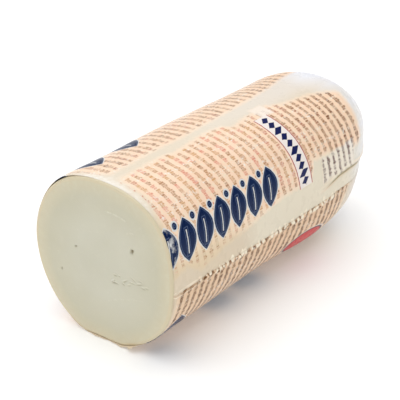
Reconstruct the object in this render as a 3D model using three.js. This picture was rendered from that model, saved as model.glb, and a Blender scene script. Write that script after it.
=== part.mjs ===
// Half a log of provolone cheese, cut straight across, in its printed shrink film.
// Lengths are millimetres and angles are degrees. +Z is up.
// The log lies along +Y with its cut face toward -Y, and angles run from +X up toward +Z.
import * as THREE from "three";

// The log
const LOG_RADIUS = 59.5;
const LOG_LENGTH = 283;
const SHOULDER_DEPTH = 62; // along the log
const SHOULDER_WIDTH = 45; // across it, leaving a nearly flat end
const END_CROWN = 1.5;
const CUT_EDGE_ROUND = 1.6;
const UNDERSIDE_DEPTH = 58; // from the log's axis down to its flattened underside

// The log bends slightly sideways over this stretch
const BEND = 3;
const BEND_START = 60;
const BEND_END = 220;

// The pressed section is not quite round: waves of this many crests stand this high
const LOBES = [
  { crests: 2, height: 1.0, at: 79 },
  { crests: 3, height: 0.45, at: 36 },
  { crests: 4, height: 0.9, at: -43 },
  { crests: 5, height: 0.5, at: -32 },
];

// Low swellings and hollows of the cheese: where they are, and how far they spread each way
const CHEESE_SWELLINGS = [
  { height: 3.4, at: -42, along: 185, spread: 28, reach: 42 },
  { height: -5.5, at: -25, along: 258, spread: 50, reach: 26 },
  { height: 2.4, at: 80, along: 246, spread: 32, reach: 16 },
  { height: -1.0, at: -45, along: 5, spread: 25, reach: 40 },
];

// The film stands off the cheese where it is loose
const FILM_SWELLINGS = [
  { height: 1.0, at: 123, along: 110, spread: 20, reach: 60 },
  { height: 1.0, at: 123, along: 10, spread: 16, reach: 25 },
  { height: 1.2, at: 40, along: 238, spread: 30, reach: 14 },
];

// The film, with a lengthwise pleat where its edges lap
const FILM_GAP = 0.3;
const FILM_THICKNESS = 0.6;
const PLEAT_ANGLE = -5;
const PLEAT_HEIGHT = 1.3;
const PLEAT_FOOT = 1.6; // from the pleat's crest to where it meets the film
const PLEAT_FADE_START = 215;
const PLEAT_FADE_END = 262;

// Faceting
const COLUMNS = 60;
const BODY_STATIONS = 14;
const SHOULDER_STATIONS = 10;
const EDGE_STATIONS = 3;

const CHEESE_COLOUR = 0xe2dcc0;
const FILM_COLOUR = 0xf4d6b6;

function radians(angle) {
  return THREE.MathUtils.degToRad(angle);
}

// Signed difference between two angles, from -180 to 180
function angleBetween(angle, from) {
  return THREE.MathUtils.euclideanModulo(angle - from + 180, 360) - 180;
}

function swelling(list, angle, along) {
  let height = 0;
  for (const bump of list) {
    const across = angleBetween(angle, bump.at) / bump.spread;
    const lengthwise = (along - bump.along) / bump.reach;
    height += bump.height * Math.exp(-across * across - lengthwise * lengthwise);
  }
  return height;
}

function sectionRadius(angle, along) {
  let radius = LOG_RADIUS;
  for (const lobe of LOBES) {
    radius += lobe.height * Math.cos(radians(lobe.crests * (angle - lobe.at)));
  }
  return radius + swelling(CHEESE_SWELLINGS, angle, along);
}

function pleat(angle, along) {
  const fade = 1 - THREE.MathUtils.smoothstep(along, PLEAT_FADE_START, PLEAT_FADE_END);
  const across = Math.min(1, Math.abs(angleBetween(angle, PLEAT_ANGLE)) / PLEAT_FOOT);
  return PLEAT_HEIGHT * fade * (1 - across);
}

// A station of the log's profile: how far along it is, how far in from the full radius,
// and which way the surface faces there, as the outward share and the lengthwise share
function bodyStation(along) {
  return { along, inset: 0, outward: 1, lengthwise: 0 };
}

function shoulderStation(turn) {
  const start = LOG_LENGTH - SHOULDER_DEPTH;
  const outward = Math.cos(turn) / SHOULDER_WIDTH;
  const lengthwise = Math.sin(turn) / SHOULDER_DEPTH;
  const length = Math.hypot(outward, lengthwise);
  return {
    along: start + SHOULDER_DEPTH * Math.sin(turn),
    inset: SHOULDER_WIDTH * (1 - Math.cos(turn)),
    outward: outward / length,
    lengthwise: lengthwise / length,
  };
}

function cutEdgeStation(turn) {
  return {
    along: CUT_EDGE_ROUND * (1 - Math.sin(turn)),
    inset: CUT_EDGE_ROUND * (1 - Math.cos(turn)),
    outward: 1,
    lengthwise: 0,
  };
}

function wrappedStations() {
  const stations = [];
  const straight = LOG_LENGTH - SHOULDER_DEPTH - CUT_EDGE_ROUND;
  for (let i = 0; i < BODY_STATIONS; i += 1) {
    stations.push(bodyStation(CUT_EDGE_ROUND + (straight * i) / BODY_STATIONS));
  }
  for (let i = 0; i <= SHOULDER_STATIONS; i += 1) {
    stations.push(shoulderStation((Math.PI / 2) * (i / SHOULDER_STATIONS)));
  }
  return stations;
}

function cutEdgeStations() {
  const stations = [];
  for (let i = EDGE_STATIONS; i > 0; i -= 1) {
    stations.push(cutEdgeStation((Math.PI / 2) * (i / EDGE_STATIONS)));
  }
  return stations;
}

// Angles round the log, with extra columns on both feet of the pleat
function columnAngles() {
  const angles = [];
  for (let i = 0; i < COLUMNS; i += 1) {
    angles.push(PLEAT_ANGLE + (360 * i) / COLUMNS);
  }
  angles.splice(1, 0, PLEAT_ANGLE + PLEAT_FOOT);
  angles.push(PLEAT_ANGLE + 360 - PLEAT_FOOT);
  return angles;
}

function axisOffset(along) {
  return BEND * THREE.MathUtils.smoothstep(along, BEND_START, BEND_END);
}

// A point on the log's surface, moved out by offset, with its underside pressed flat
function surfacePoint(angle, station, offset, relief) {
  const { along, inset, outward, lengthwise } = station;
  const full = sectionRadius(angle, along) - inset + offset * outward + relief(angle, along);
  const down = -Math.sin(radians(angle));
  const depth = UNDERSIDE_DEPTH + offset;
  const radius = full * down > depth ? depth / down : full;
  return new THREE.Vector3(
    radius * Math.cos(radians(angle)) + axisOffset(along),
    along + offset * lengthwise,
    radius * Math.sin(radians(angle)),
  );
}

function rings(stations, offset, relief) {
  const angles = columnAngles();
  return stations.map((station) => angles.map((angle) => surfacePoint(angle, station, offset, relief)));
}

// Collects triangles over shared points
class Skin {
  constructor() {
    this.positions = [];
    this.faces = [];
  }

  point(vector) {
    this.positions.push(vector.x, vector.y, vector.z);
    return this.positions.length / 3 - 1;
  }

  ring(points) {
    return points.map((vector) => this.point(vector));
  }

  // Joins two rings of one count; ahead is further along the log, and the skin faces outward
  band(ring, ahead) {
    for (let i = 0; i < ring.length; i += 1) {
      const next = (i + 1) % ring.length;
      this.faces.push(ring[i], ahead[next], ring[next]);
      this.faces.push(ring[i], ahead[i], ahead[next]);
    }
  }

  // Closes a ring over its centre, facing further along the log
  cap(ring, centre) {
    for (let i = 0; i < ring.length; i += 1) {
      this.faces.push(ring[(i + 1) % ring.length], ring[i], centre);
    }
  }

  turned(build) {
    const start = this.faces.length;
    build();
    for (let i = start; i < this.faces.length; i += 3) {
      [this.faces[i], this.faces[i + 1]] = [this.faces[i + 1], this.faces[i]];
    }
  }

  // The log's skin from its first station to the middle of its far end
  log(stations, offset, relief) {
    const levels = rings(stations, offset, relief).map((points) => this.ring(points));
    for (let i = 0; i + 1 < levels.length; i += 1) {
      this.band(levels[i], levels[i + 1]);
    }
    const far = new THREE.Vector3(axisOffset(LOG_LENGTH), LOG_LENGTH + END_CROWN + offset, 0);
    this.cap(levels[levels.length - 1], this.point(far));
    return levels[0];
  }

  geometry() {
    const geometry = new THREE.BufferGeometry();
    geometry.setAttribute("position", new THREE.Float32BufferAttribute(this.positions, 3));
    geometry.setIndex(this.faces);
    geometry.computeVertexNormals();
    return geometry;
  }
}

function noRelief() {
  return 0;
}

function looseFilm(angle, along) {
  return swelling(FILM_SWELLINGS, angle, along);
}

function looseFilmAndPleat(angle, along) {
  return looseFilm(angle, along) + pleat(angle, along);
}

function solid(name, skin, colour, roughness) {
  const material = new THREE.MeshStandardMaterial({ color: colour, roughness, metalness: 0 });
  const mesh = new THREE.Mesh(skin.geometry(), material);
  mesh.name = name;
  return mesh;
}

// The cheese: cut face, softened cut edge, body and far end
function makeCheese() {
  const skin = new Skin();
  const front = skin.log([...cutEdgeStations(), ...wrappedStations()], 0, noRelief);
  const faceCentre = skin.point(new THREE.Vector3(0, 0, 0));
  skin.turned(() => skin.cap(front, faceCentre));
  return solid("cheese", skin, CHEESE_COLOUR, 0.55);
}

// The film: a thin bag, open at the cut face
function makeWrapper() {
  const skin = new Skin();
  const outer = skin.log(wrappedStations(), FILM_GAP + FILM_THICKNESS, looseFilmAndPleat);
  let inner;
  skin.turned(() => {
    inner = skin.log(wrappedStations(), FILM_GAP, looseFilm);
    skin.band(outer, inner);
  });
  return solid("wrapper", skin, FILM_COLOUR, 0.3);
}

const part = new THREE.Group();
part.add(makeCheese());
part.add(makeWrapper());

// The origin is under the middle of the part's box, on the surface that it lies on
const box = new THREE.Box3().setFromObject(part);
const middle = box.getCenter(new THREE.Vector3());
part.position.set(-middle.x, -middle.y, -box.min.z);

export default part;
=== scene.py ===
"""Half a log of provolone cheese in its printed shrink film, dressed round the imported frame.

Shapes are worked out in millimetres, in the log's own frame: the middle of the cut face is the
origin, the log runs along +Y, +Z is up, and angles run in degrees from +X up toward +Z.
"""

import math

import bpy
import numpy as np
from mathutils import Matrix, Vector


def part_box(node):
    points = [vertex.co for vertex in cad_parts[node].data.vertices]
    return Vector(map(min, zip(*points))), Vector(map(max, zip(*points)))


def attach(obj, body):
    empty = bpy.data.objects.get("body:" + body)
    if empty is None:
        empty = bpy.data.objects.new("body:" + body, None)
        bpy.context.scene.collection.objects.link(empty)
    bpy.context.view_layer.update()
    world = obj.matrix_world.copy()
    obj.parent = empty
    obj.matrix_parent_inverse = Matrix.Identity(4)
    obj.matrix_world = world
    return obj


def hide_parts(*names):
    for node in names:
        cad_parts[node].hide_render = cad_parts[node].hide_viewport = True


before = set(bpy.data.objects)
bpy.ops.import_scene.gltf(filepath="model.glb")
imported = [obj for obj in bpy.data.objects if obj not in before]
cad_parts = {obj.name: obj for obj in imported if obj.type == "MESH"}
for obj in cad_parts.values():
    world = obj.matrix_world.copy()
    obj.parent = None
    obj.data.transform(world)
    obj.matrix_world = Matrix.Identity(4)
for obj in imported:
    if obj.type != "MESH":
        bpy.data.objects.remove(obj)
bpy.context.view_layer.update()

MM = 0.001

# ---- the log, as its solids have it
LOG_RADIUS = 59.5
LOG_LENGTH = 283.0
SHOULDER_DEPTH = 62.0
SHOULDER_WIDTH = 45.0
END_CROWN = 1.5
CUT_EDGE_ROUND = 1.6
UNDERSIDE_DEPTH = 58.0
SOLID_FILM_OFFSET = 0.9  # the solid film's outer side, above the cheese

BEND = 3.0
BEND_START = 60.0
BEND_END = 220.0

# (crests, height, angle of a crest)
LOBES = [(2, 1.0, 79.0), (3, 0.45, 36.0), (4, 0.9, -43.0), (5, 0.5, -32.0)]
# (height, angle, place along the log, spread in angle, reach along the log)
CHEESE_SWELLINGS = [
    (3.4, -42.0, 185.0, 28.0, 42.0),
    (-5.5, -25.0, 258.0, 50.0, 26.0),
    (2.4, 80.0, 246.0, 32.0, 16.0),
    (-1.0, -45.0, 5.0, 25.0, 40.0),
]
FILM_SWELLINGS = [
    (1.0, 123.0, 110.0, 20.0, 60.0),
    (1.0, 123.0, 10.0, 16.0, 25.0),
    (1.2, 40.0, 238.0, 30.0, 14.0),
]

STRAIGHT = LOG_LENGTH - SHOULDER_DEPTH
# Length of the shoulder's quarter ellipse, by Ramanujan's formula
SHOULDER_SKEW = ((SHOULDER_DEPTH - SHOULDER_WIDTH) / (SHOULDER_DEPTH + SHOULDER_WIDTH)) ** 2
SHOULDER_ARC = (
    math.pi / 4 * (SHOULDER_DEPTH + SHOULDER_WIDTH)
    * (1 + 3 * SHOULDER_SKEW / (10 + math.sqrt(4 - 3 * SHOULDER_SKEW)))
)
END_RADIUS = LOG_RADIUS - SHOULDER_WIDTH
PROFILE_LENGTH = STRAIGHT + SHOULDER_ARC + END_RADIUS


def smooth(value, low, high):
    """0 below low, 1 above high, and a smooth turn between them."""
    t = np.clip((value - low) / (high - low), 0.0, 1.0)
    return t * t * (3.0 - 2.0 * t)


def fade(value, low, high):
    """1 below low, 0 above high."""
    return 1.0 - smooth(value, low, high)


def hill(value, middle, width):
    """A bell of height 1."""
    return np.exp(-(((value - middle) / width) ** 2))


def angle_between(angle, other):
    """The angle from the other, between -180 and 180."""
    return (angle - other + 180.0) % 360.0 - 180.0


def swell(swellings, angle, along):
    """The height of some swellings, summed."""
    total = 0.0
    for height, at, place, spread, reach in swellings:
        round_it = hill(angle_between(angle, at), 0.0, spread)
        total = total + height * round_it * hill(along, place, reach)
    return total


def section_radius(angle, along):
    """The log's radius, uneven as a hanging cheese is."""
    radius = LOG_RADIUS + swell(CHEESE_SWELLINGS, angle, along)
    for crests, height, at in LOBES:
        radius = radius + height * np.cos(np.radians(crests * (angle - at)))
    return radius


def axis_offset(along):
    """How far the log's middle has bent to the side."""
    return BEND * smooth(along, BEND_START, BEND_END)


def profile(run):
    """At a length run along the log's skin: the place along the log, the share of the radius that is left,
    the inset, and the way the skin faces, outward and lengthwise."""
    turn = np.clip((run - STRAIGHT) / SHOULDER_ARC, 0.0, 1.0) * (math.pi / 2)
    cap = np.clip(run - STRAIGHT - SHOULDER_ARC, 0.0, END_RADIUS) / END_RADIUS
    along = np.minimum(run, STRAIGHT) + SHOULDER_DEPTH * np.sin(turn) + END_CROWN * (1.0 - (1.0 - cap) ** 2)
    inset = SHOULDER_WIDTH * (1.0 - np.cos(turn))
    outward = np.cos(turn) / SHOULDER_WIDTH
    lengthwise = np.sin(turn) / SHOULDER_DEPTH
    length = np.hypot(outward, lengthwise)
    return along, 1.0 - cap, inset, outward / length, lengthwise / length


def log_point(angle, run, offset):
    """Points at a height of offset over the cheese, in the log's frame, with the underside pressed flat."""
    along, left, inset, outward, lengthwise = profile(run)
    radius = (section_radius(angle, along) - inset) * left + offset * outward
    down = -np.sin(np.radians(angle))
    depth = UNDERSIDE_DEPTH + np.minimum(offset, SOLID_FILM_OFFSET)
    pressed = np.where(radius * down > depth, depth / np.maximum(down, 0.01), radius)
    x = pressed * np.cos(np.radians(angle)) + axis_offset(along)
    y = along + offset * lengthwise
    z = pressed * np.sin(np.radians(angle))
    return np.stack(np.broadcast_arrays(x, y, z), axis=-1)


# Where the log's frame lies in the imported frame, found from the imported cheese
LOWEST_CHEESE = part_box("cheese")[0] / MM
ALL_ROUND = np.arange(0.0, 360.0, 0.5)[:, None]
ALL_ALONG = np.arange(0.0, STRAIGHT, 2.0)[None]
LEFTMOST = log_point(ALL_ROUND, ALL_ALONG, 0.0)[..., 0].min()
LOG_ORIGIN = np.array([
    LOWEST_CHEESE.x - LEFTMOST,
    LOWEST_CHEESE.y,
    UNDERSIDE_DEPTH + SOLID_FILM_OFFSET,
])


# ---- meshes
def new_object(name, data):
    """An object in the scene that holds a mesh, a lamp or a camera."""
    thing = bpy.data.objects.new(name, data)
    bpy.context.scene.collection.objects.link(thing)
    return thing


def make_piece(name, points, faces, material, node):
    """A piece from points in the log's frame, that stands for a CAD node."""
    mesh = bpy.data.meshes.new(name)
    mesh.from_pydata([tuple(p) for p in (points + LOG_ORIGIN) * MM], [], faces)
    mesh.validate()
    mesh.shade_smooth()
    mesh.materials.append(material)
    piece = new_object(name, mesh)
    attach(piece, "root")
    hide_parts(node)
    return piece


def add_values(piece, name, values):
    """A number for each point, which the material reads by name."""
    layer = piece.data.attributes.new(name, "FLOAT", "POINT")
    layer.data.foreach_set("value", np.asarray(values, np.float32).ravel())


def ripples(rng, along, across, count, longest, shortest):
    """Waves of random direction, summed, about 1 high."""
    total = np.zeros(np.broadcast(along, across).shape)
    for length in np.geomspace(longest, shortest, count):
        heading = rng.uniform(0.0, math.pi)
        phase = rng.uniform(0.0, 2 * math.pi)
        distance = along * math.cos(heading) + across * math.sin(heading)
        total = total + np.sin(2 * math.pi * distance / length + phase) * (length / longest)
    return total / math.sqrt(count / 2)


# ---- materials by nodes
def operator(operation, swapped=False):
    """A method of Value that puts one maths node after it."""
    def apply(self, other=None):
        first, second = (other, self) if swapped else (self, other)
        return self.shader.compute(operation, first, second)
    return apply


class Value:
    """A value in a material's nodes, which takes part in sums as a number does."""

    def __init__(self, shader, socket):
        self.shader = shader
        self.socket = socket

    __add__ = operator("ADD")
    __radd__ = operator("ADD", swapped=True)
    __sub__ = operator("SUBTRACT")
    __rsub__ = operator("SUBTRACT", swapped=True)
    __mul__ = operator("MULTIPLY")
    __rmul__ = operator("MULTIPLY", swapped=True)
    __truediv__ = operator("DIVIDE")
    __lt__ = operator("LESS_THAN")
    __gt__ = operator("GREATER_THAN")
    __abs__ = operator("ABSOLUTE")
    floor = operator("FLOOR")
    fraction = operator("FRACT")


class Shader:
    """Builds one material's nodes."""

    def __init__(self, name):
        self.material = bpy.data.materials.new(name)
        self.material.use_nodes = True
        self.tree = self.material.node_tree
        self.tree.nodes.clear()

    def feed(self, socket, value):
        """Links a socket to a value, or gives it a constant."""
        if isinstance(value, Value):
            self.tree.links.new(value.socket, socket)
        elif value is not None:
            socket.default_value = value

    def add(self, kind, settings=None, **inputs):
        """Adds a node. An input's name has _ in place of a space."""
        node = self.tree.nodes.new(kind)
        for key, value in (settings or {}).items():
            setattr(node, key, value)
        for key, value in inputs.items():
            self.feed(node.inputs[key.replace("_", " ")], value)
        return node

    def read(self, kind, output=0, settings=None, **inputs):
        """Adds a node and returns one of its outputs."""
        return Value(self, self.add(kind, settings, **inputs).outputs[output])

    def compute(self, operation, first, second=None, clamp=False):
        node = self.add("ShaderNodeMath", {"operation": operation, "use_clamp": clamp})
        self.feed(node.inputs[0], first)
        self.feed(node.inputs[1], second)
        return Value(self, node.outputs[0])

    def least(self, first, second):
        return self.compute("MINIMUM", first, second)

    def most(self, first, second):
        return self.compute("MAXIMUM", first, second)

    def distance(self, first, second):
        return self.compute("SQRT", first * first + second * second)

    def ramp(self, value, low, high, to_low=0.0, to_high=1.0):
        """Runs from to_low at low to to_high at high, and stays there beyond."""
        node = self.add("ShaderNodeMapRange", {"clamp": True})
        for socket, number in zip(node.inputs, (value, low, high, to_low, to_high)):
            self.feed(socket, number)
        return Value(self, node.outputs[0])

    def inside(self, distance, blur):
        """1 where a signed distance is above 0, with an edge as wide as blur."""
        return self.ramp(distance, -blur / 2, blur / 2)

    def stripe(self, value, middle, half, blur):
        """1 within half of the middle, with edges as wide as blur."""
        return self.inside(half - abs(value - middle), blur)

    def value(self, name):
        """A number that the mesh carries at each point."""
        return self.read("ShaderNodeAttribute", "Fac", {"attribute_name": name})

    def vector(self, x, y, z=0.0):
        return self.read("ShaderNodeCombineXYZ", X=x, Y=y, Z=z)

    def coordinates(self):
        return self.read("ShaderNodeTexCoord", "Object")

    def noise(self, vector, scale, detail=3.0, rough=0.5):
        inputs = {"Vector": vector, "Scale": scale, "Detail": detail, "Roughness": rough}
        return self.read("ShaderNodeTexNoise", 0, {"noise_dimensions": "3D"}, **inputs)

    def chance(self, x, y, z=0.0):
        """A random number from 0 to 1 for each whole x, y and z."""
        settings = {"noise_dimensions": "3D"}
        return self.read("ShaderNodeTexWhiteNoise", 0, settings, Vector=self.vector(x, y, z))

    def draw(self, x, y, z, low, high):
        """A random number from low to high for each whole x, y and z."""
        return self.ramp(self.chance(x, y, z), 0.0, 1.0, low, high)

    def mix(self, share, first, second):
        node = self.add("ShaderNodeMix", {"data_type": "RGBA"})
        colours = [socket for socket in node.inputs if socket.type == "RGBA"]
        self.feed(node.inputs[0], share)
        self.feed(colours[0], first)
        self.feed(colours[1], second)
        return Value(self, [socket for socket in node.outputs if socket.type == "RGBA"][0])

    def bump(self, height, distance, strength):
        return self.read("ShaderNodeBump", Height=height, Distance=distance, Strength=strength)

    def finish(self, **inputs):
        """Ends the material with one surface, and returns it."""
        surface = self.add("ShaderNodeBsdfPrincipled", **inputs)
        output = self.add("ShaderNodeOutputMaterial")
        self.tree.links.new(surface.outputs[0], output.inputs["Surface"])
        return self.material


def colour(red, green, blue):
    """A colour given as the screen shows it, from 0 to 255, as the shader wants it."""
    def linear(value):
        share = value / 255
        return share / 12.92 if share <= 0.04045 else ((share + 0.055) / 1.055) ** 2.4
    return (linear(red), linear(green), linear(blue), 1.0)


# ---- the cheese
SKIN_OFFSET = 0.2  # the cheese fills its film a little more than its solid does
CHEESE_COLUMNS = 320
FACE_RINGS = 96
EDGE_RINGS = 8
SKIN_RINGS = 90
# Small holes in the cut face: x, z, radius, depth, and how far each is drawn out along which angle
HOLES = [
    (25.2, 16.9, 0.95, 1.5, 1.7, 70.0),
    (-22.3, 5.6, 0.5, 0.6, 1.6, 60.0),
    (-36.2, -15.8, 0.35, 0.4, 1.3, 40.0),
]
HOLE_PULL = 3.2  # how much closer the mesh is drawn round a hole
# Marks the wire left: start x and z, end x and z, sag, height, half-width
WIRE_MARKS = [
    (2.0, 39.0, 24.0, 36.0, -1.5, 0.4, 0.7),
    (20.0, 27.0, 30.0, 29.0, -2.0, 0.34, 0.6),
    (-4.0, -31.2, 39.0, -16.0, -2.5, 0.18, 0.8),
    (-30.0, 18.0, 8.0, 26.0, 2.0, 0.11, 0.9),
]
# A scuffed patch, where the wire dragged: middle x and z, half-length, half-width, strokes
SCUFF = (23.0, -6.0, 15.0, 3.2, 15)
SCUFF_LEAN = 0.1  # the patch rises to the right
HOLE_LIP = 0.1

RIM_WIDTH = 11.0
RIM_WANDER = 5.0  # how far the rim's inner edge wanders
CURD = [colour(206, 203, 183), colour(212, 209, 190)]
OUTER_CURD = [colour(203, 198, 173), colour(208, 203, 179)]
DRY_CURD = colour(224, 220, 203)
# Torn lips: partly the torn curd's paler colour, partly painted highlight; torn grooves: painted shade
TORN_LIP_AND_HIGHLIGHT = colour(236, 232, 216)
TORN_GROOVE_SHADE = colour(178, 171, 142)
RIM = [colour(213, 204, 175), colour(217, 210, 184)]
SKIN = [colour(217, 204, 172), colour(222, 210, 180)]
HOLE_SHADE = colour(140, 124, 86)


def face_relief(x, z, rng):
    """How far the cut face stands out, at points of it, and how much of that is torn curd."""
    relief = 0.05 * ripples(rng, x, z, 5, 60.0, 14.0) + 0.012 * ripples(rng, x, z, 6, 7.0, 2.2)
    torn = 0.0
    for x0, z0, x1, z1, sag, height, width in WIRE_MARKS:
        length = math.hypot(x1 - x0, z1 - z0)
        run = ((x - x0) * (x1 - x0) + (z - z0) * (z1 - z0)) / length
        side = ((x - x0) * (z1 - z0) - (z - z0) * (x1 - x0)) / length
        bow = sag * (1.0 - (2.0 * run / length - 1.0) ** 2)
        ends = smooth(run, 0.0, 0.2 * length) * fade(run, 0.8 * length, length)
        broken = 0.6 + 0.4 * np.sin(run * 1.9 + x0) * np.sin(run * 0.83 + z0)
        torn = torn + height * ends * broken * hill(side, bow, width)
    torn = torn + scuffs(x, z, rng)
    return relief + torn, torn


def scuffs(x, z, rng):
    """Short torn strokes, each a lip of curd beside a shallow groove."""
    middle_x, middle_z, half_length, half_width, strokes = SCUFF
    total = 0.0
    for _ in range(strokes):
        at_x = middle_x + half_length * rng.uniform(-1.0, 1.0)
        at_z = middle_z + half_width * rng.uniform(-1.0, 1.0) + SCUFF_LEAN * (at_x - middle_x)
        heading = math.radians(rng.uniform(-30.0, 40.0))
        length = rng.uniform(1.0, 3.0)
        run = (x - at_x) * math.cos(heading) + (z - at_z) * math.sin(heading)
        side = (z - at_z) * math.cos(heading) - (x - at_x) * math.sin(heading)
        lip = hill(side, 0.3, 0.45) - 0.7 * hill(side, -0.5, 0.5)
        total = total + rng.uniform(0.36, 0.7) * lip * hill(run, 0.0, length)
    return total


def hole_distance(x, z, hole):
    """Distance from a hole's middle, 1 on its edge."""
    hx, hz, radius, _, stretch, heading = hole
    turn = math.radians(heading)
    run = (x - hx) * math.cos(turn) + (z - hz) * math.sin(turn)
    side = -(x - hx) * math.sin(turn) + (z - hz) * math.cos(turn)
    return np.hypot(run / (radius * stretch), side / radius)


def draw_close(x, z):
    """Draws the mesh in round each hole, so that its edge is round."""
    for hole in HOLES:
        hx, hz, radius = hole[:3]
        far = np.hypot(x - hx, z - hz)
        reach = 6.0 * radius
        share = np.clip(far / reach, 0.0, 1.0)
        drawn = share ** HOLE_PULL * fade(share, 0.5, 1.0) + share * smooth(share, 0.5, 1.0)
        scale = np.where(far < reach, drawn / np.maximum(share, 1e-6), 1.0)
        x = hx + (x - hx) * scale
        z = hz + (z - hz) * scale
    return x, z


def cheese_points():
    """Rings of points from the middle of the cut face to the far end, and what the material reads there."""
    rng = np.random.default_rng(11)
    angles = np.arange(CHEESE_COLUMNS) * (360.0 / CHEESE_COLUMNS)
    rim = log_point(angles, np.float64(0.0), 0.0)
    rim_radius = np.hypot(rim[:, 0], rim[:, 2]) - CUT_EDGE_ROUND
    share = np.linspace(0.0, 1.0, FACE_RINGS + 1)[1:, None]
    x = share * rim_radius * np.cos(np.radians(angles))
    z = share * rim_radius * np.sin(np.radians(angles))
    x, z = draw_close(x, z)
    relief, torn = face_relief(x, z, rng)
    y = -relief * smooth(1.0 - share, 0.0, 0.05)
    hollow = np.zeros_like(y)
    for hole in HOLES:
        depth = hole[3]
        far = hole_distance(x, z, hole)
        bowl = np.sqrt(np.maximum(0.0, 1.0 - np.minimum(far, 1.0) ** 2))
        y = y + depth * bowl - HOLE_LIP * hill(far, 1.35, 0.35)
        hollow = np.maximum(hollow, fade(far, 0.55, 1.25))
    face = np.stack([x, y, z], axis=-1)
    turn = np.linspace(0.0, math.pi / 2, EDGE_RINGS + 1)[1:, None]
    lift = -CUT_EDGE_ROUND * (1.0 - np.sin(turn)) + SKIN_OFFSET * np.sin(turn)
    edge = log_point(angles, CUT_EDGE_ROUND * (1.0 - np.cos(turn)), lift)
    runs = np.linspace(CUT_EDGE_ROUND, PROFILE_LENGTH, SKIN_RINGS + 1)[1:-1, None]
    dents = 0.03 * ripples(rng, runs, angles, 7, 70.0, 9.0)
    skin = log_point(angles, runs, SKIN_OFFSET + np.clip(dents, -0.06, 0.06))
    values = {"rim_distance": (1.0 - share) * rim_radius, "hollow": hollow, "torn": torn}
    plain = np.zeros((len(edge) + len(skin), CHEESE_COLUMNS))
    values = {name: np.concatenate([grid, plain]) for name, grid in values.items()}
    return np.concatenate([face, edge, skin]), values


def grid_faces(rings, columns, closed):
    """Quads between rings that close on themselves, or stay open, facing away from the axis."""
    faces = []
    for ring in range(rings - 1):
        for column in range(columns if closed else columns - 1):
            here = ring * columns + column
            beside = ring * columns + (column + 1) % columns
            faces.append((here, here + columns, beside + columns, beside))
    return faces


def make_cheese():
    """The cheese, closed in the middle of both ends."""
    rings, values = cheese_points()
    count = rings.shape[0] * CHEESE_COLUMNS
    far = log_point(np.zeros(1), np.float64(PROFILE_LENGTH), 0.0)
    points = np.concatenate([rings.reshape(-1, 3), [[0.0, 0.0, 0.0]], far])
    faces = grid_faces(rings.shape[0], CHEESE_COLUMNS, True)
    last = count - CHEESE_COLUMNS
    for column in range(CHEESE_COLUMNS):
        beside = (column + 1) % CHEESE_COLUMNS
        faces.append((count, column, beside))
        faces.append((last + column, count + 1, last + beside))
    piece = make_piece("cheese_core", points, faces, cheese_material(), "cheese")
    for name, grid in values.items():
        middle_of_face = LOG_RADIUS if name == "rim_distance" else 0.0
        add_values(piece, name, np.append(grid.ravel(), [middle_of_face, 0.0]))


def cheese_material():
    """Smooth, faintly moist ivory curd, with a creamier, drier rim."""
    shader = Shader("cheese_curd")
    place = shader.coordinates()
    broad = shader.noise(place, 22.0, 3.0)
    fine = shader.noise(place, 260.0, 4.0, 0.6)
    specks = shader.noise(place, 900.0, 2.0)
    blotch = shader.ramp(broad, 0.35, 0.65)
    rim_distance = shader.value("rim_distance")
    depth = rim_distance + (broad - 0.5) * RIM_WANDER
    torn = shader.value("torn")
    curd = shader.mix(blotch, *CURD)
    curd = shader.mix(shader.ramp(depth, 4.0, 36.0), shader.mix(blotch, *OUTER_CURD), curd)
    curd = shader.mix(shader.ramp(fine, 0.55, 0.8, 0.0, 0.25), curd, DRY_CURD)
    # Painted highlight on the lips of the wire marks and scuffs, partly the torn curd's own paler colour,
    # and painted shade in their grooves
    curd = shader.mix(shader.ramp(torn, 0.05, 0.4, 0.0, 0.6), curd, TORN_LIP_AND_HIGHLIGHT)
    curd = shader.mix(shader.ramp(torn, -0.03, -0.25, 0.0, 0.6), curd, TORN_GROOVE_SHADE)
    rim = shader.mix(shader.ramp(fine, 0.3, 0.7), *RIM)
    skin = shader.mix(shader.ramp(broad, 0.3, 0.7), *SKIN)
    base = shader.mix(shader.ramp(depth, 0.2 * RIM_WIDTH, RIM_WIDTH), rim, curd)
    base = shader.mix(shader.ramp(rim_distance, 0.1, 1.2), skin, base)
    base = shader.mix(shader.value("hollow") * 0.75, base, HOLE_SHADE)
    return shader.finish(
        Base_Color=base,
        Roughness=shader.ramp(fine, 0.3, 0.7, 0.42, 0.6),
        Normal=shader.bump(fine * 0.6 + specks * 0.25, 0.00012, 0.5),
        Subsurface_Weight=0.12,
        Subsurface_Radius=(1.0, 0.8, 0.5),
        Subsurface_Scale=0.004,
        IOR=1.45,
    )


# ---- the film's print, as it lies
# Angles here run on from the film's under edge, just below 0, to its outer edge, just below 360
FILM_START = -16.0
FILM_END = 356.0
ARC = LOG_RADIUS * math.pi / 180  # millimetres round the log for each degree
ROW_PITCH = 7.3
ROW_PHASE = 5.0
ROW_LEAN = 0.129  # the rows lie nearer the cut at the top of the log
BACK_LEAN = 0.135  # and on the panel below they lean the other way
BACK_PHASE = 2.2
BACK_LEVEL = 342.0

# Edges of the printed panels, as (place along the log, angle)
MAIN_LOWER = [
    (0, 7), (16, 9), (24, 4), (31, 1), (47, 4), (56, 7), (78, 7), (98, 10), (128, 14), (150, 12.5),
    (164, 16), (167, 25), (187, 24), (217, 18), (300, 14),
]
MAIN_UPPER = [
    (0, 82.5), (54, 82), (62, 79.5), (99, 82.5), (116, 81), (122, 75), (137, 77.5), (167, 79),
    (178, 73.5), (211, 68.5), (228, 62.5), (236, 57.5), (300, 45),
]
UPPER_LOWER = [(0, 89), (60, 89.5), (80, 88), (148, 90.5), (196, 93.5), (216, 97), (300, 99)]
UPPER_END = 196.0
BACK_START = 206.0
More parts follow.
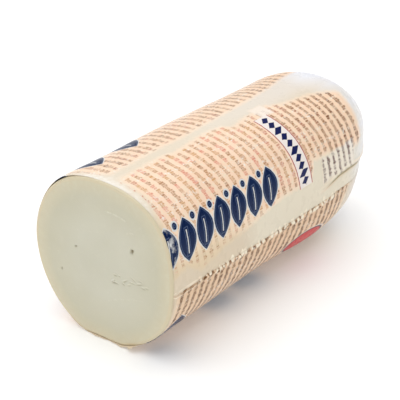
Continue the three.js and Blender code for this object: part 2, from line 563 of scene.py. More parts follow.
# How far along the log the print runs, as (angle, place along the log)
PRINT_END = [
    (-16, 211), (10, 219), (13, 225), (17, 230), (22, 234.5), (57, 234.5), (98, 240), (200, 236),
    (300, 212), (330, 208), (356, 219),
]

# How far, at most, a row of marks stops short of its panel's edge
RAGGED = 3.5

# A phrase of marks, which each row repeats: its length, its shift from row to row, and its groups
PHRASE = 35.0
PHRASE_SHIFT = 18.6
WORDS = [(0.0, 10.3), (11.0, 20.7), (21.4, 24.4), (25.0, 34.3)]
MARK_PITCH = 1.55
GROUP_LENGTH = 4.3

# Rows of leaves: middle angle, start, end, pitch, half the height and half the width of a leaf
LEAF_ROWS = [
    (26.0, -8.0, 122.2, 18.6, 13.6, 8.7),
    (122.0, -28.0, 78.5, 35.5, 17.0, 12.5),
    (215.0, -8.0, 122.2, 18.6, 12.8, 7.0),
    (315.0, -8.0, 33.0, 41.0, 17.5, 14.0),
    (302.0, 66.0, 137.0, 35.5, 17.0, 12.5),
]
LEAF_SLANT = 0.17
LEAF_OUTLINE = 1.0
LEAF_RIB = 0.45
BERRY = 2.2

# Patches of print, as (front, rear, low angle, high angle): the band with its two thin lines, the pale
# patch above it, and the small block of marks near the far end
BAND = (153.5, 169.0, 11.5, 70.5)
PATCH = (163.0, 177.0, 69.5, 81.5)
BLOCK = (176.0, 222.0, 3.5, 25.0)
LOZENGE_PITCH = 5.8
LOZENGE_HALF = 2.8
LOZENGE_LEAN = 0.3
LOZENGE_REACHES = (6.4, 4.6)  # half the height of a long one and of a short one
BAND_LINE = 0.45  # half the width of a red line

# A plain oval low on the side
OVAL_ANGLE = 323.0
OVAL_PLACE = 164.0
OVAL_LONG = 22.0
OVAL_WIDE = 8.5

# Painted highlight and shade of the pleat: a smooth tube near the cut, and tufts from there on
TUBE_END = 26.0
PLEAT_END = 200.0
TUFT_PITCH = 5.2


def edge_at(knots, place):
    """The height of a line through knots."""
    places, values = zip(*knots)
    return np.interp(place, places, values)


def beside_glare(angle):
    """1 on the part of the cut edge that the light bleaches."""
    return smooth(angle, 45.0, 60.0) * fade(angle, 92.0, 104.0)


def panel_distance(angle, run):
    """How far inside the printed panels a point is, in millimetres; below 0 the film is clear."""
    # Where the light glares at the cut, the print starts further back: painted highlight
    near = run - 0.5 - 1.7 * fade(angle, 280.0, 310.0) - 1.5 * beside_glare(angle)
    far = edge_at(PRINT_END, angle) - run
    main = np.minimum(angle - edge_at(MAIN_LOWER, run), edge_at(MAIN_UPPER, run) - angle) * ARC
    upper = np.minimum(angle - edge_at(UPPER_LOWER, run), UPPER_END - angle) * ARC
    back = (angle - BACK_START) * ARC
    sides = np.maximum(np.maximum(main, upper), back)
    return np.minimum(np.minimum(near, far), sides)


def ground_strength(angle, run):
    """How strong the panels' pale ink is. It thins out toward the cut, further back where the light glares
    there, a painted highlight, and toward the pleat near it.
    """
    from_cut = smooth(run - 5.0 * beside_glare(angle), -1.0, 10.0)
    thin = fade(run, 40.0, 120.0) * fade(angle, 6.0, 36.0)
    return from_cut * (1.0 - 0.8 * thin)


def patch_distances(patch, run, arc):
    """How far inside a patch's ends and its sides a point is, in millimetres."""
    front, rear, low, high = patch
    ends = 0.5 * (rear - front) - abs(run - 0.5 * (front + rear))
    sides = 0.5 * (high - low) * ARC - abs(arc - 0.5 * (low + high) * ARC)
    return ends, sides


def row_coordinate(angle, run, height):
    """Runs along the log, with the rows of marks along its level lines."""
    steady = fade(run, STRAIGHT, PROFILE_LENGTH)
    upper = run + ROW_LEAN * height * steady + ROW_PHASE
    back = run - BACK_LEAN * (angle - BACK_LEVEL) * ARC * steady + BACK_PHASE
    return np.where(angle < 0.5 * (UPPER_END + BACK_START), upper, back)


# ---- the film's print, as it is drawn
MARK_MIDDLE = 0.45  # of a mark in its cell, up and across
MARK_HALF = 0.43
MARK_TOP = 0.62
MARK_EXTRA = 0.13  # a tall mark reaches this much higher
MARK_BLUR_UP = 0.07
MARK_BLUR_ACROSS = 0.14
EYE_UP = 0.10  # half the height and width of a hollow mark's eye
EYE_ACROSS = 0.17
GROUP_GAP = 0.8

TUFT_DRIFT = 1.7  # how far a tuft strays along the pleat
TUFT_RISE = 1.2  # and across it
# Tufts of painted highlight, then specks of painted shade: shift in pitches, size, rise above the crest,
# lean
TUFTS = [(0.0, 1.6, 1.1, 0.3), (0.5, 1.0, 0.7, -0.5)]

INK_DRIFT = 0.7  # how far the print's lines waver, in millimetres
PALE_GROUND = [colour(250, 216, 187), colour(253, 223, 196)]
CREAM_SPECKLE = colour(244, 231, 206)
# Painted shade toward the far end, where the shoulder turns away from the light
FAR_GROUND_SHADE = colour(244, 208, 172)
# Painted shade on the panel under the log
LOW_GROUND_SHADE = colour(233, 201, 167)
BROWN_INK = [colour(214, 163, 110), colour(178, 134, 102)]
RED_INK = colour(222, 146, 124)
FAR_INK = colour(118, 68, 30)
LOW_INK = colour(108, 70, 34)
UPPER_INK = colour(150, 124, 108)
FAINT_INK = [colour(176, 134, 92), colour(208, 146, 120)]
WORN_INK = colour(238, 190, 150)
GLINT = colour(250, 245, 238)
BLOCK_GROUND = colour(246, 236, 226)
BLOCK_INK = colour(100, 64, 56)
PATCH_WHITE = colour(249, 240, 230)
BAND_WHITE = colour(244, 235, 228)
BAND_RED = colour(176, 76, 62)
LOZENGE_NAVY = colour(14, 26, 82)
OVAL_PALE = colour(240, 226, 214)
OVAL_DARK = colour(70, 40, 56)
OVAL_RED = colour(206, 66, 70)
LEAF_NAVY = [colour(0, 28, 70), colour(2, 40, 90)]
LEAF_PALE = colour(222, 222, 220)
LEAF_INLINE = colour(120, 140, 172)
# Painted shade beside the pleat, partly doubled ink, painted shade below the fold, and painted highlight on
# their crests
PLEAT_SHADE_AND_INK = colour(132, 94, 58)
FOLD_SHADE = colour(158, 144, 104)
CREST_HIGHLIGHT = colour(254, 243, 220)
CLEAR = [colour(239, 221, 193), colour(237, 221, 196)]
CLEAR_BARE = colour(247, 238, 216)
CLEAR_THIN = colour(238, 217, 180)
# Whitish film: near the cut, where it is mostly painted glare, and at the far end, where it is drawn
# together
HAZE_AND_GLARE = [colour(251, 246, 236), colour(243, 244, 250)]


class FilmPaint(Shader):
    """The film's material. Colours are laid over one another, and the share that they cover is kept."""

    def __init__(self, name):
        super().__init__(name)
        self.place = self.coordinates()
        drift = (self.noise(self.place, 420.0, 3.0, 0.6) - 0.5) * INK_DRIFT
        self.row = self.value("row") + drift
        self.arc = self.value("arc") + drift
        self.along = self.value("along") + drift
        self.wear = self.noise(self.place, 95.0, 4.0, 0.6)
        self.blotch = self.noise(self.place, 30.0, 2.0)
        self.speckle = self.noise(self.place, 330.0, 3.0, 0.6)
        self.strength = self.value("strength")
        self.soft_edge = self.value("panel") + (self.speckle - 0.5) * 6.0
        self.far_part = self.ramp(self.along, 110.0, 215.0)
        self.low_part = self.by_angle(280.0, 300.0)
        self.bleached = self.by_angle(40.0, 56.0)
        self.colour = None
        self.share = 0.0

    def by_angle(self, low, high, to_low=0.0, to_high=1.0):
        return self.ramp(self.arc, low * ARC, high * ARC, to_low, to_high)

    def blend(self, pair):
        """Two colours, blended in broad blotches."""
        return self.mix(self.ramp(self.blotch, 0.3, 0.7), *pair)

    def lay(self, amount, tint):
        self.colour = self.mix(amount, self.colour, tint)

    def cover(self, *amounts):
        for amount in amounts:
            self.share = self.most(self.share, amount)


def rows_of_marks(paint):
    """Rows of short marks round the log. Returns their ink's share, the row and a chance for each group."""
    rows = paint.row / ROW_PITCH
    line = rows.floor()
    up = rows.fraction()
    run = paint.arc + line * PHRASE_SHIFT
    step = run - (run / PHRASE).floor() * PHRASE
    word = None
    for start, end in WORDS:
        within = paint.least(step - start, end - step)
        word = within if word is None else paint.most(word, within)
    marks = run / MARK_PITCH
    mark = marks.floor()
    across = marks.fraction()

    # The body of a mark, with an eye in some
    tall = paint.chance(mark, line, 1.0) > 0.66
    low = paint.draw(mark, line, 6.0, 0.18, 0.28)
    body = paint.least(up - low, MARK_TOP + tall * MARK_EXTRA - up)
    side = paint.stripe(across, MARK_MIDDLE, MARK_HALF, MARK_BLUR_ACROSS)
    solid = paint.least(paint.inside(body, MARK_BLUR_UP), side)
    hollow = paint.chance(mark, line, 2.0) < 0.6
    eye = paint.least(
        paint.stripe(up, MARK_MIDDLE, EYE_UP, MARK_BLUR_UP),
        paint.stripe(across, MARK_MIDDLE, EYE_ACROSS, MARK_BLUR_ACROSS),
    )
    ink = paint.compute("SUBTRACT", solid, eye * hollow * 0.65, clamp=True)
    ink = ink * paint.draw(mark, line, 7.0, 0.72, 1.0) * paint.ramp(word, -0.15, 0.15, 0.45, 1.0)

    # Gaps before some of the groups
    group = (run / GROUP_LENGTH).floor()
    parted = paint.chance(group, line, 9.0) < 0.5
    gap = paint.inside(GROUP_GAP - (run - group * GROUP_LENGTH), 0.3) * parted
    ink = ink * paint.ramp(gap, 0.0, 1.0, 1.0, 0.2)
    return ink, line, paint.chance(group, line, 5.0)


def leaf_rows(paint):
    """Rows of slanted leaves with berries between. Returns the signed distance inside them."""
    nearest = None
    for middle, start, end, pitch, reach, half in LEAF_ROWS:
        up = paint.arc - middle * ARC
        across = paint.along - up * LEAF_SLANT - start
        local = abs(across - ((across / pitch).floor() + 0.5) * pitch)
        ratio = up / reach
        leaf = (1.0 - ratio * ratio) * half - local
        rib = paint.most(local - LEAF_RIB, abs(up + 0.1 * reach) - 0.55 * reach)
        berry = BERRY - paint.distance(local - 0.5 * pitch, up - 0.85 * reach)
        left = paint.least(across, end - start - across)
        shape = paint.most(
            paint.least(paint.least(leaf, rib), left),
            paint.least(berry, left - 0.5 * pitch),
        )
        nearest = shape if nearest is None else paint.most(nearest, shape)
    return nearest


def band_marks(paint):
    """Slanted lozenges on the band, a long one after two short. Returns the signed distance inside them."""
    front, rear = BAND[:2]
    lean = paint.arc - (paint.row - front) * LOZENGE_LEAN
    cell = (lean / LOZENGE_PITCH).floor() + 0.5
    local = abs(lean - cell * LOZENGE_PITCH)
    reach = paint.ramp((cell / 3.0).fraction(), 0.3, 0.4, *LOZENGE_REACHES)
    up = paint.row - 0.5 * (front + rear)
    return (1.0 - abs(up / reach)) * LOZENGE_HALF - local


def pleat_marks(paint, along, drop):
    """Painted highlight and shade of the pleat: two highlight lines near the cut with shade between, then
    highlight tufts on the crumpled film, with specks between that are painted shade and partly doubled ink.
    """
    crumple = (paint.noise(paint.place, 480.0, 4.0, 0.7) - 0.5) * 7.0
    tufted = paint.ramp(along, TUBE_END - 4.0, TUBE_END + 4.0)
    tufted = tufted * paint.ramp(along, PLEAT_END - 8.0, PLEAT_END, 1.0, 0.0)
    shares = []
    for turn, size, rise, lean in TUFTS:
        steps = along / TUFT_PITCH + turn
        cell = steps.floor()
        up = drop - paint.draw(cell, turn, 2.0, rise - TUFT_RISE, rise + TUFT_RISE)
        run = (steps - cell - 0.5) * TUFT_PITCH + paint.draw(cell, turn, 1.0, -TUFT_DRIFT, TUFT_DRIFT)
        big = paint.draw(cell, turn, 3.0, 0.2 * size, 1.5 * size)
        tuft = big + crumple - paint.distance(run - up * lean, up)
        shares.append(paint.inside(tuft, 0.5) * tufted)
    tufts, specks = shares
    tube = paint.ramp(along, TUBE_END - 4.0, TUBE_END + 6.0, 1.0, 0.0)
    lines = paint.most(paint.stripe(drop, 1.9, 0.5, 0.5), paint.stripe(drop, -0.9, 0.4, 0.5))
    between = paint.stripe(drop, 0.6, 1.0, 0.8)
    return paint.most(tufts, lines * tube * 0.85), paint.most(specks * 0.9, between * tube * 0.45)


def fold_marks(paint, along, side):
    """Painted highlight and shade of the fold at the far end: a painted highlight on its crest with painted
    shade below it.
    """
    there = paint.ramp(along, 172.0, 192.0) * paint.ramp(along, 246.0, 262.0, 1.0, 0.0)
    light = paint.stripe(side, 1.1, 0.6, 0.7)
    dark = paint.stripe(side, -2.2, 1.6, 1.8)
    return light * there * 0.6, dark * there


def lay_ground(paint):
    """Pale ink that carries the panels, with painted shade toward the far end and on the panel under the
    log.
    """
    paint.colour = paint.blend(PALE_GROUND)
    paint.lay(paint.ramp(paint.speckle, 0.5, 0.66, 0.0, 0.6), CREAM_SPECKLE)
    # Painted shade: the ground darkens toward the far end, where the shoulder turns away from the light
    paint.lay(paint.far_part * 0.25, FAR_GROUND_SHADE)
    # Painted shade: the ground of the panel under the log is darker, most of all just below the pleat
    paint.lay(paint.low_part * paint.by_angle(312.0, 350.0, 0.3, 0.95), LOW_GROUND_SHADE)
    paint.cover(paint.ramp(paint.soft_edge, -2.0, 4.0) * paint.strength)


def row_ink(paint, group):
    """Brown ink with red groups: darker toward the far end and the pleat, and faint where it wears thin."""
    ink = paint.mix(paint.ramp(group, 0.0, 0.6), *BROWN_INK)
    ink = paint.mix(paint.ramp(group, 0.74, 0.78), ink, RED_INK)
    ink = paint.mix(paint.far_part, ink, FAR_INK)
    ink = paint.mix(paint.low_part, ink, LOW_INK)
    upper_part = paint.by_angle(84.0, 90.0) * paint.by_angle(196.0, 206.0, 1.0, 0.0)
    ink = paint.mix(upper_part * 0.6, ink, UPPER_INK)
    faint = paint.ramp(paint.strength, 0.3, 0.8, 0.8, 0.0)
    ink = paint.mix(faint, ink, paint.mix(paint.bleached, *FAINT_INK))
    return paint.mix(paint.ramp(paint.wear, 0.45, 0.75, 0.0, 0.4), ink, WORN_INK)


def lay_rows(paint, marks, line, group, ragged):
    """Rows of marks, some of which are lost where the pale ink is weak."""
    rows = marks * paint.inside(paint.value("panel") - ragged, 0.5)
    paint.lay(rows, row_ink(paint, group))
    fewest = paint.ramp(paint.bleached, 0.0, 1.0, 0.55, 0.8)
    chance = paint.chance(line, (paint.arc / MARK_PITCH).floor(), 8.0)
    kept = chance < paint.ramp(paint.strength, 0.2, 0.9, fewest, 1.01)
    paint.cover(rows * kept * 0.9)


def lay_glints(paint):
    """Small glints where the film is creased along the log."""
    streak = paint.noise(paint.vector(paint.along / 45.0, paint.arc / 6.0), 1.0, 2.0)
    glint = paint.ramp(paint.noise(paint.place, 640.0, 2.0), 0.57, 0.66) * paint.ramp(streak, 0.5, 0.58)
    paint.lay(glint * 0.75, GLINT)


def lay_block(paint, marks, ragged):
    """Small dark marks on a whitish block, where the rows run out beside the fold."""
    block = paint.inside(paint.value("block") - ragged, 2.0)
    block_marks = paint.compute("MULTIPLY", marks, block * 1.2, clamp=True)
    paint.lay(block, BLOCK_GROUND)
    paint.lay(block_marks, BLOCK_INK)
    paint.cover(block * 0.4, block_marks)


def lay_band(paint):
    """White band with two thin red lines and dark lozenges, and a pale patch above it."""
    line, side = patch_distances(BAND, paint.row, paint.arc)
    white = paint.inside(paint.least(side, line + 0.6), 0.4)
    patch = paint.least(*patch_distances(PATCH, paint.row, paint.arc))
    patch = paint.inside(patch + (paint.wear - 0.5), 2.4)
    lines = paint.inside(BAND_LINE - abs(line), 0.2) * paint.inside(side, 0.4)
    lozenges = paint.inside(band_marks(paint), 0.25) * paint.inside(side - 1.5, 0.3)
    paint.lay(patch * 0.75, PATCH_WHITE)
    paint.lay(white, BAND_WHITE)
    paint.lay(lines, BAND_RED)
    paint.lay(lozenges, LOZENGE_NAVY)
    paint.cover(patch * 0.6, white * 0.9, lines, lozenges)


def lay_oval(paint):
    """Oval with a thin dark outline."""
    run = (paint.along - OVAL_PLACE) / OVAL_LONG
    up = (paint.arc - OVAL_ANGLE * ARC) / OVAL_WIDE
    oval = (1.0 - paint.distance(run, up)) * OVAL_WIDE
    rim = paint.inside(oval + 1.6, 0.3)
    paint.lay(rim, OVAL_PALE)
    paint.lay(paint.inside(oval + 0.9, 0.3), OVAL_DARK)
    paint.lay(paint.inside(oval, 0.3), OVAL_RED)
    paint.cover(rim)


def lay_leaves(paint):
    """Leaves with a pale outline, flaked where the film was cut."""
    leaves = leaf_rows(paint)
    outline = paint.inside(leaves + LEAF_OUTLINE, 0.3)
    flaked = paint.ramp(paint.along, 3.0, 12.0, 1.0, 0.0) * paint.ramp(paint.wear, 0.46, 0.56)
    flaked = flaked * paint.inside(60.0 * ARC - paint.arc, 1.0)
    fill = paint.inside(leaves, 0.25) * (1.0 - flaked)
    inline = paint.stripe(leaves, 1.3, 0.28, 0.3)
    paint.lay(outline, LEAF_PALE)
    paint.lay(fill, paint.mix(paint.ramp(paint.wear, 0.4, 0.8, 0.0, 0.3), *LEAF_NAVY))
    paint.lay(inline * fill * 0.35, LEAF_INLINE)
    paint.cover(outline)


def lay_creases(paint):
    """Painted highlight along the crests of the pleat and the fold, and painted shade beside them."""
    along = paint.value("along")
    light, dark = pleat_marks(paint, along, paint.value("drop"))
    fold_light, fold_dark = fold_marks(paint, along, paint.value("fold"))
    paint.lay(dark, PLEAT_SHADE_AND_INK)
    paint.lay(fold_dark, FOLD_SHADE)
    paint.lay(paint.most(light, fold_light), CREST_HIGHLIGHT)
    paint.cover(light, dark, fold_light, fold_dark)


def clear_film(paint):
    """Colour and alpha of the film between the print: hazy where it is crumpled, with a painted highlight
    where it glares at the cut and painted light on its top.
    """
    near_cut = paint.ramp(paint.along, 10.0, 16.0, 1.0, 0.0)
    uneven = near_cut * paint.ramp(paint.speckle, 0.42, 0.58, 0.35, 0.0)
    haze_and_glare = paint.value("haze_and_glare") * (1.0 - uneven)
    bare = paint.ramp(paint.along, 76.0, 96.0, 0.0, 0.85) * paint.by_angle(50.0, 70.0, 1.0, 0.0)
    thin = paint.inside(paint.soft_edge, 4.0) * (1.0 - paint.strength) * (1.0 - paint.bleached)
    tint = paint.mix(bare, paint.blend(CLEAR), CLEAR_BARE)
    tint = paint.mix(haze_and_glare, tint, paint.mix(paint.ramp(paint.along, 90.0, 210.0), *HAZE_AND_GLARE))
    tint = paint.mix(thin, tint, CLEAR_THIN)
    return tint, paint.ramp(haze_and_glare, 0.0, 1.0, 0.88, 0.96)


def film_material():
    """Clear film, printed on the panels: pale ink under rows of marks, a band, an oval and leaves."""
    paint = FilmPaint("printed_film")
    marks, line, group = rows_of_marks(paint)
    marks = paint.compute("MULTIPLY", marks, paint.ramp(paint.low_part, 0.0, 1.0, 1.0, 1.3), clamp=True)
    ragged = paint.chance(line, 4.0) * RAGGED
    lay_ground(paint)
    lay_rows(paint, marks, line, group, ragged)
    lay_glints(paint)
    lay_block(paint, marks, ragged)
    lay_band(paint)
    lay_oval(paint)
    lay_leaves(paint)
    lay_creases(paint)
    clear, clear_alpha = clear_film(paint)
    return paint.finish(
        Base_Color=paint.mix(paint.ramp(paint.share, 0.0, 0.95), clear, paint.colour),
        Alpha=paint.ramp(paint.share, 0.0, 0.5, clear_alpha, 1.0),
        Roughness=paint.ramp(paint.wear, 0.3, 0.7, 0.22, 0.36),
        Normal=paint.bump(paint.noise(paint.place, 120.0, 2.0), 0.00012, 0.3),
        Specular_IOR_Level=0.12,
        IOR=1.5,
    )


# ---- the film
FILM_SHEET = 0.18  # thickness
FILM_REST = 0.46  # its outer side above the cheese where it lies tight
CALM_HEIGHT = 0.04  # of its slack ripples
LAP_RAISE = 0.3  # of the outer sheet where it lies on the under one
UNDER_DROP = 0.15  # of the under sheet there
COARSE_STEP = 2.4
FINE_STEP = 0.45
FINE_START = 345.0
LAP_START = -9.0  # where the under sheet comes out from under the outer one
LAP_END = 5.0
LAP_STEP = 0.6
STATION_STEP = 1.3
FRONT_EDGE = 1.1
PUCKER_RUN = PROFILE_LENGTH - 1.6
PLEAT_LINE = [(0, 356.6), (20, 356.4), (60, 353.8), (115, 351.3), (190, 351.3), (300, 350)]
BEAD_INSET = 1.9  # how far below the film's outer edge the crest of the pleat runs, in degrees
BEAD_HALF = 1.7
BEAD_HEIGHT = 1.7
GATHERS = 21
MINOR_GATHERS = 29
GATHER_HEIGHT = 0.6
FOLD_HEIGHT = 1.5
FOLD_HALF = 1.3
TUG_HEIGHT = 0.12  # of the wrinkles that run out from the pleat
CUT_TUG_HEIGHT = 0.1  # of those that run in from the cut
CUT_DIP = 0.12  # the film draws in at the cut
END_DIP = 0.2  # and between the gathers
SWAY = 0.9  # how far the pleat's crest swings, in degrees
FRONT_WAVE = 0.35
LIP_LENGTH = 1.6  # of the ragged edge under the log
LIP_RAGGED = 0.7
TIP_ANGLE = 293.0  # of the scrap of film that is torn at the cut
TIP_LENGTH = 5.0
TIP_HALF = 4.0
OUTER_SHARE = 0.86  # of the baked picture's height


def film_columns():
    """Angles of the film's columns, close together at the lap and at the pleat."""
    under = np.arange(FILM_START, LAP_START, COARSE_STEP)
    lap = np.arange(LAP_START, LAP_END, LAP_STEP)
    coarse = np.arange(LAP_END, FINE_START, COARSE_STEP)
    fine = np.arange(FINE_START, FILM_END + 0.01, FINE_STEP)
    return np.concatenate([under, lap, coarse, fine])


def film_front(angles, rng):
    """Where the film's cut edge lies: a little wavy, and ragged under the log, with one torn tip."""
    wave = FRONT_WAVE * ripples(rng, angles, 0.0, 7, 90.0, 9.0)
    tip = TIP_LENGTH * np.maximum(0.0, 1.0 - np.abs(angles - TIP_ANGLE) / TIP_HALF)
    ragged = ripples(rng, angles, 0.0, 5, 14.0, 5.5)
    lip = smooth(angles, 236.0, 252.0) * fade(angles, 284.0, 300.0)
    return FRONT_EDGE + wave - tip - lip * (LIP_LENGTH + LIP_RAGGED * ragged)


def crinkle(run, rng):
    """Sharp, uneven pinches along the pleat, one for about each row of print."""
    phase = run / ROW_PITCH + 0.3 * np.sin(run / 11.0) + 0.2 * np.sin(run / 4.3)
    saw = np.abs((phase % 1.0) * 2.0 - 1.0)
    uneven = 0.72 + 0.4 * ripples(rng, run, 0.0, 5, 40.0, 8.0)
    return np.clip(saw * uneven, 0.0, 1.2)


def fold(angle, run):
    """A sharp fold that runs on from the pleat to the far end, and the distance up from it."""
    line = 1.2 + 4.3 * smooth(run, 174.0, 204.0) - 1.2 * smooth(run, 214.0, 240.0)
    side = angle_between(angle, line) * ARC
    there = smooth(run, 168.0, 190.0) * fade(run, 262.0, 284.0)
    crest = FOLD_HEIGHT * np.exp(-np.abs(side) / FOLD_HALF)
    return there * (crest - 0.4 * hill(side, -2.6, 1.6)), side


def tight_wrinkles(angle, drop, run, under):
    """Small wrinkles that run out from the pleat, and others that run in from the cut edge."""
    tugs = np.abs(np.sin(run * 0.43 + 0.16 * drop + np.sin(run * 0.21)))
    tugs = (1.0 - tugs) ** 3 * hill(drop, 0.0, 12.0) * fade(run, 120.0, 170.0) * (1.0 - under)
    cut_tugs = np.abs(np.sin(0.19 * angle * ARC + 0.9 * np.sin(0.11 * angle)))
    return tugs, (1.0 - cut_tugs) ** 4 * hill(run, 0.0, 7.0)


def end_gathers(angle, run):
    """How far the film is drawn together toward the far end, and its gathers, large and small."""
    end = smooth(run, STRAIGHT + 8.0, PUCKER_RUN)
    twist = GATHERS * np.radians(angle) + 0.9 * np.sin(np.radians(3.0 * angle)) + 0.004 * run
    gathers = (1.0 - np.abs(np.sin(twist / 2.0))) ** 2
    minor = 1.0 - np.abs(np.sin(0.5 * MINOR_GATHERS * np.radians(angle) + 1.1))
    return end, gathers, minor ** 3 * smooth(end, 0.3, 0.9)


def pleat_height(drop, run, rng):
    """The pleat: a smooth tube near the cut, and pinched from there on."""
    pinches = crinkle(run, rng)
    reach = smooth(run, 0.0, 5.0) * fade(run, 185.0, 205.0)
    tube = fade(run, 26.0, 40.0)
    crests = pinches * (1.0 - tube) + 0.5 * tube
    return hill(drop, 0.0, BEAD_HALF) * reach * BEAD_HEIGHT * (0.35 + 0.85 * crests)


def film_haze_and_glare(angle, run, tugs, gathers):
    """How milky the film is, white where it is drawn together, with painted light in it: a painted
    highlight where it glares at the cut, and whiter on top, partly milky film and partly painted light.
    """
    # Painted highlight where the film glares at the cut, and painted light whitening the top
    glare = hill(run, 0.0, 8.0) * smooth(angle, 36.0, 56.0) * fade(angle, 96.0, 120.0)
    top = smooth(angle, 62.0, 84.0) * fade(angle, 100.0, 125.0)
    top = top * (0.7 + 0.3 * smooth(run, 50.0, 140.0))
    far = smooth(run, 205.0, 250.0) * (0.7 + 0.3 * gathers) * (1.0 - 0.5 * smooth(run, 245.0, 280.0))
    return np.clip(0.1 * tugs + 0.75 * glare + 0.4 * top + far, 0.0, 1.0)


def film_relief(angle, drop, run, rng):
    """How far the film stands off its tight lie, how hazy it is with its painted glare, and the distance up
    from its fold.
    """
    under = fade(angle, FILM_START, 0.0)
    calm = CALM_HEIGHT * ripples(rng, run, angle * ARC, 9, 34.0, 7.0)
    calm = calm * fade(angle, 338.0, 346.0) * (1.0 - under)
    tugs, cut_tugs = tight_wrinkles(angle, drop, run, under)
    end, gathers, minor = end_gathers(angle, run)
    lap = smooth(drop, -12.0, -6.0) * smooth(angle, 180.0, 200.0) * (1.0 - 0.5 * smooth(run, 195.0, 215.0))
    creased, fold_side = fold(angle, run)
    relief = (
        swell(FILM_SWELLINGS, angle, profile(run)[0])
        + calm
        - UNDER_DROP * under
        + LAP_RAISE * lap
        + pleat_height(drop, run, rng)
        + TUG_HEIGHT * tugs
        + CUT_TUG_HEIGHT * cut_tugs
        - CUT_DIP * hill(run, 0.0, 3.0)
        + end * (GATHER_HEIGHT * (gathers + 0.5 * minor) - END_DIP)
        + creased
    )
    return relief, film_haze_and_glare(angle, run, tugs, gathers), fold_side


def film_points():
    """The film's outer and inner sheet, and what the material reads there."""
    rng = np.random.default_rng(23)
    columns = film_columns()
    share = np.linspace(0.0, 1.0, int(PUCKER_RUN / STATION_STEP))[:, None]
    front = film_front(columns, rng)
    run = front + share * (PUCKER_RUN - front)

    # The film's outer edge follows the pleat, and drop is the distance up from the pleat's crest
    shift = (edge_at(PLEAT_LINE, run) - FILM_END) * smooth(columns, 290.0, 346.0)
    angle = columns + shift
    bead = edge_at(PLEAT_LINE, run) - BEAD_INSET
    drop = angle_between(angle, bead) * ARC
    relief, haze_and_glare, fold_side = film_relief(angle, drop, run, rng)
    sway = SWAY * smooth(drop, -3.0, 0.0) * smooth(angle, 180.0, 200.0) * (crinkle(run, rng) - 0.5)
    outer = log_point(angle + sway, run, FILM_REST + relief)
    inner = log_point(angle + sway, run, FILM_REST + relief - FILM_SHEET)
    outer[..., 2] = np.maximum(outer[..., 2], -LOG_ORIGIN[2])
    inner[..., 2] = np.maximum(inner[..., 2], FILM_SHEET - LOG_ORIGIN[2])
    values = {
        "along": run,
        "row": row_coordinate(angle, run, outer[..., 2]),
        "arc": angle * ARC,
        "panel": panel_distance(angle, run),
        "block": np.minimum(*patch_distances(BLOCK, run, angle * ARC)),
        "strength": ground_strength(angle, run),
        "haze_and_glare": haze_and_glare,
        "drop": drop,
        "fold": fold_side,
    }
    return outer, inner, values


def sheet_faces(rings, columns):
    """An outer and an inner sheet of one grid, closed along all four edges."""
    inner = rings * columns
    faces = grid_faces(rings, columns, False)
    faces += [tuple(inner + corner for corner in reversed(face)) for face in faces]
    border = [ring * columns for ring in range(rings)]
    border += [(rings - 1) * columns + column for column in range(1, columns)]
    border += [ring * columns + columns - 1 for ring in range(rings - 2, -1, -1)]
    border += [column for column in range(columns - 2, 0, -1)]
    for here, ahead in zip(border, border[1:] + border[:1]):
        faces.append((here, inner + here, inner + ahead, ahead))
    return faces


def lay_out(piece, rings, columns):
    """A map for baking: the outer sheet on the lower part of the picture, the inner on a strip above."""
    ring, column = np.divmod(np.arange(rings * columns), columns)
    across = column / (columns - 1)
    up = ring / (rings - 1)
    outer = np.stack([across, OUTER_SHARE * up], axis=-1)
    inner = np.stack([across, OUTER_SHARE + 0.01 + (0.99 - OUTER_SHARE) * up], axis=-1)
    spots = np.concatenate([outer, inner])
    corners = np.zeros(len(piece.data.loops), int)
    piece.data.loops.foreach_get("vertex_index", corners)
    layer = piece.data.uv_layers.new(name="OFBake", do_init=False)
    layer.data.foreach_set("uv", spots[corners].astype(np.float32).ravel())


def make_film():
    """The film, a closed thin sheet."""
    outer, inner, values = film_points()
    rings, columns = outer.shape[:2]
    points = np.concatenate([outer.reshape(-1, 3), inner.reshape(-1, 3)])
    piece = make_piece("film", points, sheet_faces(rings, columns), film_material(), "wrapper")
    for name, grid in values.items():
        add_values(piece, name, np.concatenate([grid.ravel(), grid.ravel()]))
    lay_out(piece, rings, columns)


# ---- the floor, the light and the camera
VIEW_AZIMUTH = 36.1
VIEW_ELEVATION = 26.7
VIEW_DISTANCE = 794.0  # from the point looked at, in the log's frame
LOOKED_AT = np.array([0.0, 106.9, 2.4])
FOCAL_PIXELS = 1113.0
PICTURE_PIXELS = 400.0
SENSOR = 36.0

FLOOR_HALF = 6.0  # metres
FLOOR_WHITES = [colour(250, 250, 250), colour(252, 252, 252)]
FLOOR_GLOW = 0.11

# Broad, soft lights: name, azimuth, elevation, breadth in degrees, strength
LAMPS = [
    ("top_light", -85.0, 76.0, 90.0, 2.1),
    ("side_light", 80.0, 30.0, 90.0, 0.3),
]
LIT_POINT = np.array([0.0, 0.0, 0.06])
SKY = 0.42


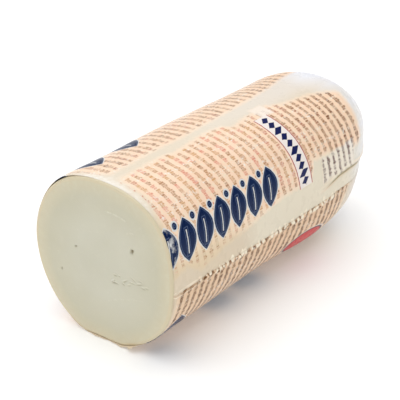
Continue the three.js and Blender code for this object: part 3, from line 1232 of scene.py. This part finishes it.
def make_floor():
    """A plain pale floor, a little lit from below, as a light table is."""
    corners = [(x * FLOOR_HALF, y * FLOOR_HALF, 0.0) for x, y in ((-1, -1), (1, -1), (1, 1), (-1, 1))]
    mesh = bpy.data.meshes.new("floor")
    mesh.from_pydata(corners, [], [(0, 1, 2, 3)])
    shader = Shader("floor_paint")
    cloud = shader.ramp(shader.noise(shader.coordinates(), 3.0), 0.3, 0.7)
    shade = shader.mix(cloud, *FLOOR_WHITES)
    mesh.materials.append(shader.finish(
        Base_Color=shade,
        Roughness=0.9,
        Emission_Color=shade,
        Emission_Strength=FLOOR_GLOW,
    ))
    floor = new_object("floor", mesh)


def put(thing, azimuth, elevation, target, distance):
    """Puts a lamp or a camera so that it looks at a target from a direction."""
    a = math.radians(azimuth)
    e = math.radians(elevation)
    back = np.array([math.sin(a) * math.cos(e), -math.cos(a) * math.cos(e), math.sin(e)])
    right = np.array([math.cos(a), math.sin(a), 0.0])
    columns = zip(right, np.cross(back, right), back, target + back * distance)
    thing.matrix_world = Matrix([*columns, (0.0, 0.0, 0.0, 1.0)])


def make_camera():
    """The camera, where the photo's was."""
    lens = bpy.data.cameras.new("camera")
    lens.sensor_width = SENSOR
    lens.lens = SENSOR * FOCAL_PIXELS / PICTURE_PIXELS
    lens.clip_start = 0.01
    camera = new_object("camera", lens)
    put(camera, VIEW_AZIMUTH, VIEW_ELEVATION, (LOOKED_AT + LOG_ORIGIN) * MM, VIEW_DISTANCE * MM)
    bpy.context.scene.camera = camera


def make_lights():
    """Two broad suns and an even white sky."""
    for name, azimuth, elevation, breadth, strength in LAMPS:
        lamp = bpy.data.lights.new(name, "SUN")
        lamp.angle = math.radians(breadth)
        lamp.energy = strength
        put(new_object(name, lamp), azimuth, elevation, LIT_POINT, 1.0)
    world = bpy.data.worlds.new("studio")
    world.use_nodes = True
    background = world.node_tree.nodes["Background"]
    background.inputs["Color"].default_value = (1.0, 1.0, 1.0, 1.0)
    background.inputs["Strength"].default_value = SKY
    bpy.context.scene.world = world
    bpy.context.scene.view_settings.view_transform = "Standard"


make_camera()
make_cheese()
make_film()
make_floor()
make_lights()
